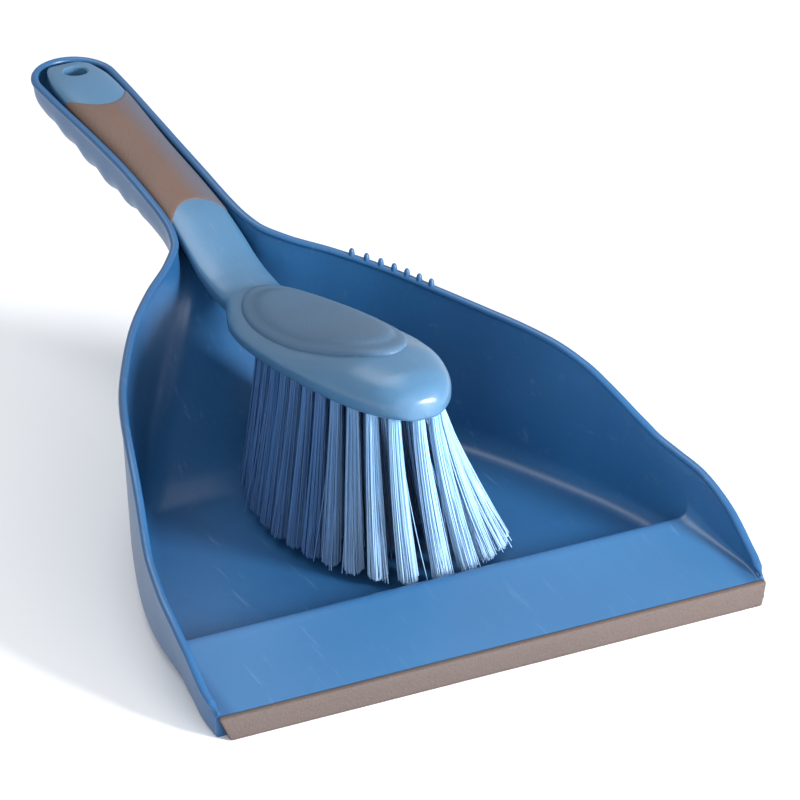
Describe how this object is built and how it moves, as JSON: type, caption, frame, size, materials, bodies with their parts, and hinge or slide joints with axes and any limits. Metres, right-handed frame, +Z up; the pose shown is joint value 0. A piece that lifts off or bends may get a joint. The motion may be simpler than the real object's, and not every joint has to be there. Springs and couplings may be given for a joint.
{
  "type": "dustpan and brush",
  "caption": "Hand dustpan with a soft front lip and a trough handle, holding a hand brush with a bent, rubber-gripped handle and an oval tufted head.",
  "frame": {"origin": "middle of the footprint, on the surface that the pan stands on", "axes": "+X to the right along the front lip, +Y from the lip to the end of the handle, +Z up"},
  "size_m": [0.223, 0.3652, 0.0929],
  "materials": {
    "pan_plastic": "satin moulded polypropylene",
    "lip_rubber": "matt soft strip",
    "brush_plastic": "satin moulded polypropylene",
    "grip_rubber": "matt soft grip",
    "pad_rubber": "matt soft pad",
    "bristle": "bundles of fine synthetic bristle"
  },
  "bodies": {
    "dustpan": {"pan_shell": "pan_plastic", "lip_blade": "lip_rubber"},
    "brush": {"brush_body": "brush_plastic", "handle_grip": "grip_rubber", "head_pad": "pad_rubber", "tuft_01": "bristle", "tuft_02": "bristle", "tuft_03": "bristle", "tuft_04": "bristle", "tuft_05": "bristle", "tuft_06": "bristle", "tuft_07": "bristle", "tuft_08": "bristle", "tuft_09": "bristle", "tuft_10": "bristle", "tuft_11": "bristle", "tuft_12": "bristle", "tuft_13": "bristle", "tuft_14": "bristle", "tuft_15": "bristle", "tuft_16": "bristle", "tuft_17": "bristle", "tuft_18": "bristle", "tuft_19": "bristle", "tuft_20": "bristle", "tuft_21": "bristle", "tuft_22": "bristle", "tuft_23": "bristle", "tuft_24": "bristle", "tuft_25": "bristle", "tuft_26": "bristle", "tuft_27": "bristle", "tuft_28": "bristle", "tuft_29": "bristle", "tuft_30": "bristle", "tuft_31": "bristle", "tuft_32": "bristle", "tuft_33": "bristle", "tuft_34": "bristle", "tuft_35": "bristle", "tuft_36": "bristle", "tuft_37": "bristle", "tuft_38": "bristle", "tuft_39": "bristle", "tuft_40": "bristle", "tuft_41": "bristle", "tuft_42": "bristle", "tuft_43": "bristle", "tuft_44": "bristle", "tuft_45": "bristle", "tuft_46": "bristle", "tuft_47": "bristle", "tuft_48": "bristle", "tuft_49": "bristle", "tuft_50": "bristle", "tuft_51": "bristle"}
  },
  "joints": [
    {"name": "brush_lift", "type": "slide", "parent": "dustpan", "child": "brush", "axis": [0, 0, 1], "range_m": [0, 0.12]}
  ]
}
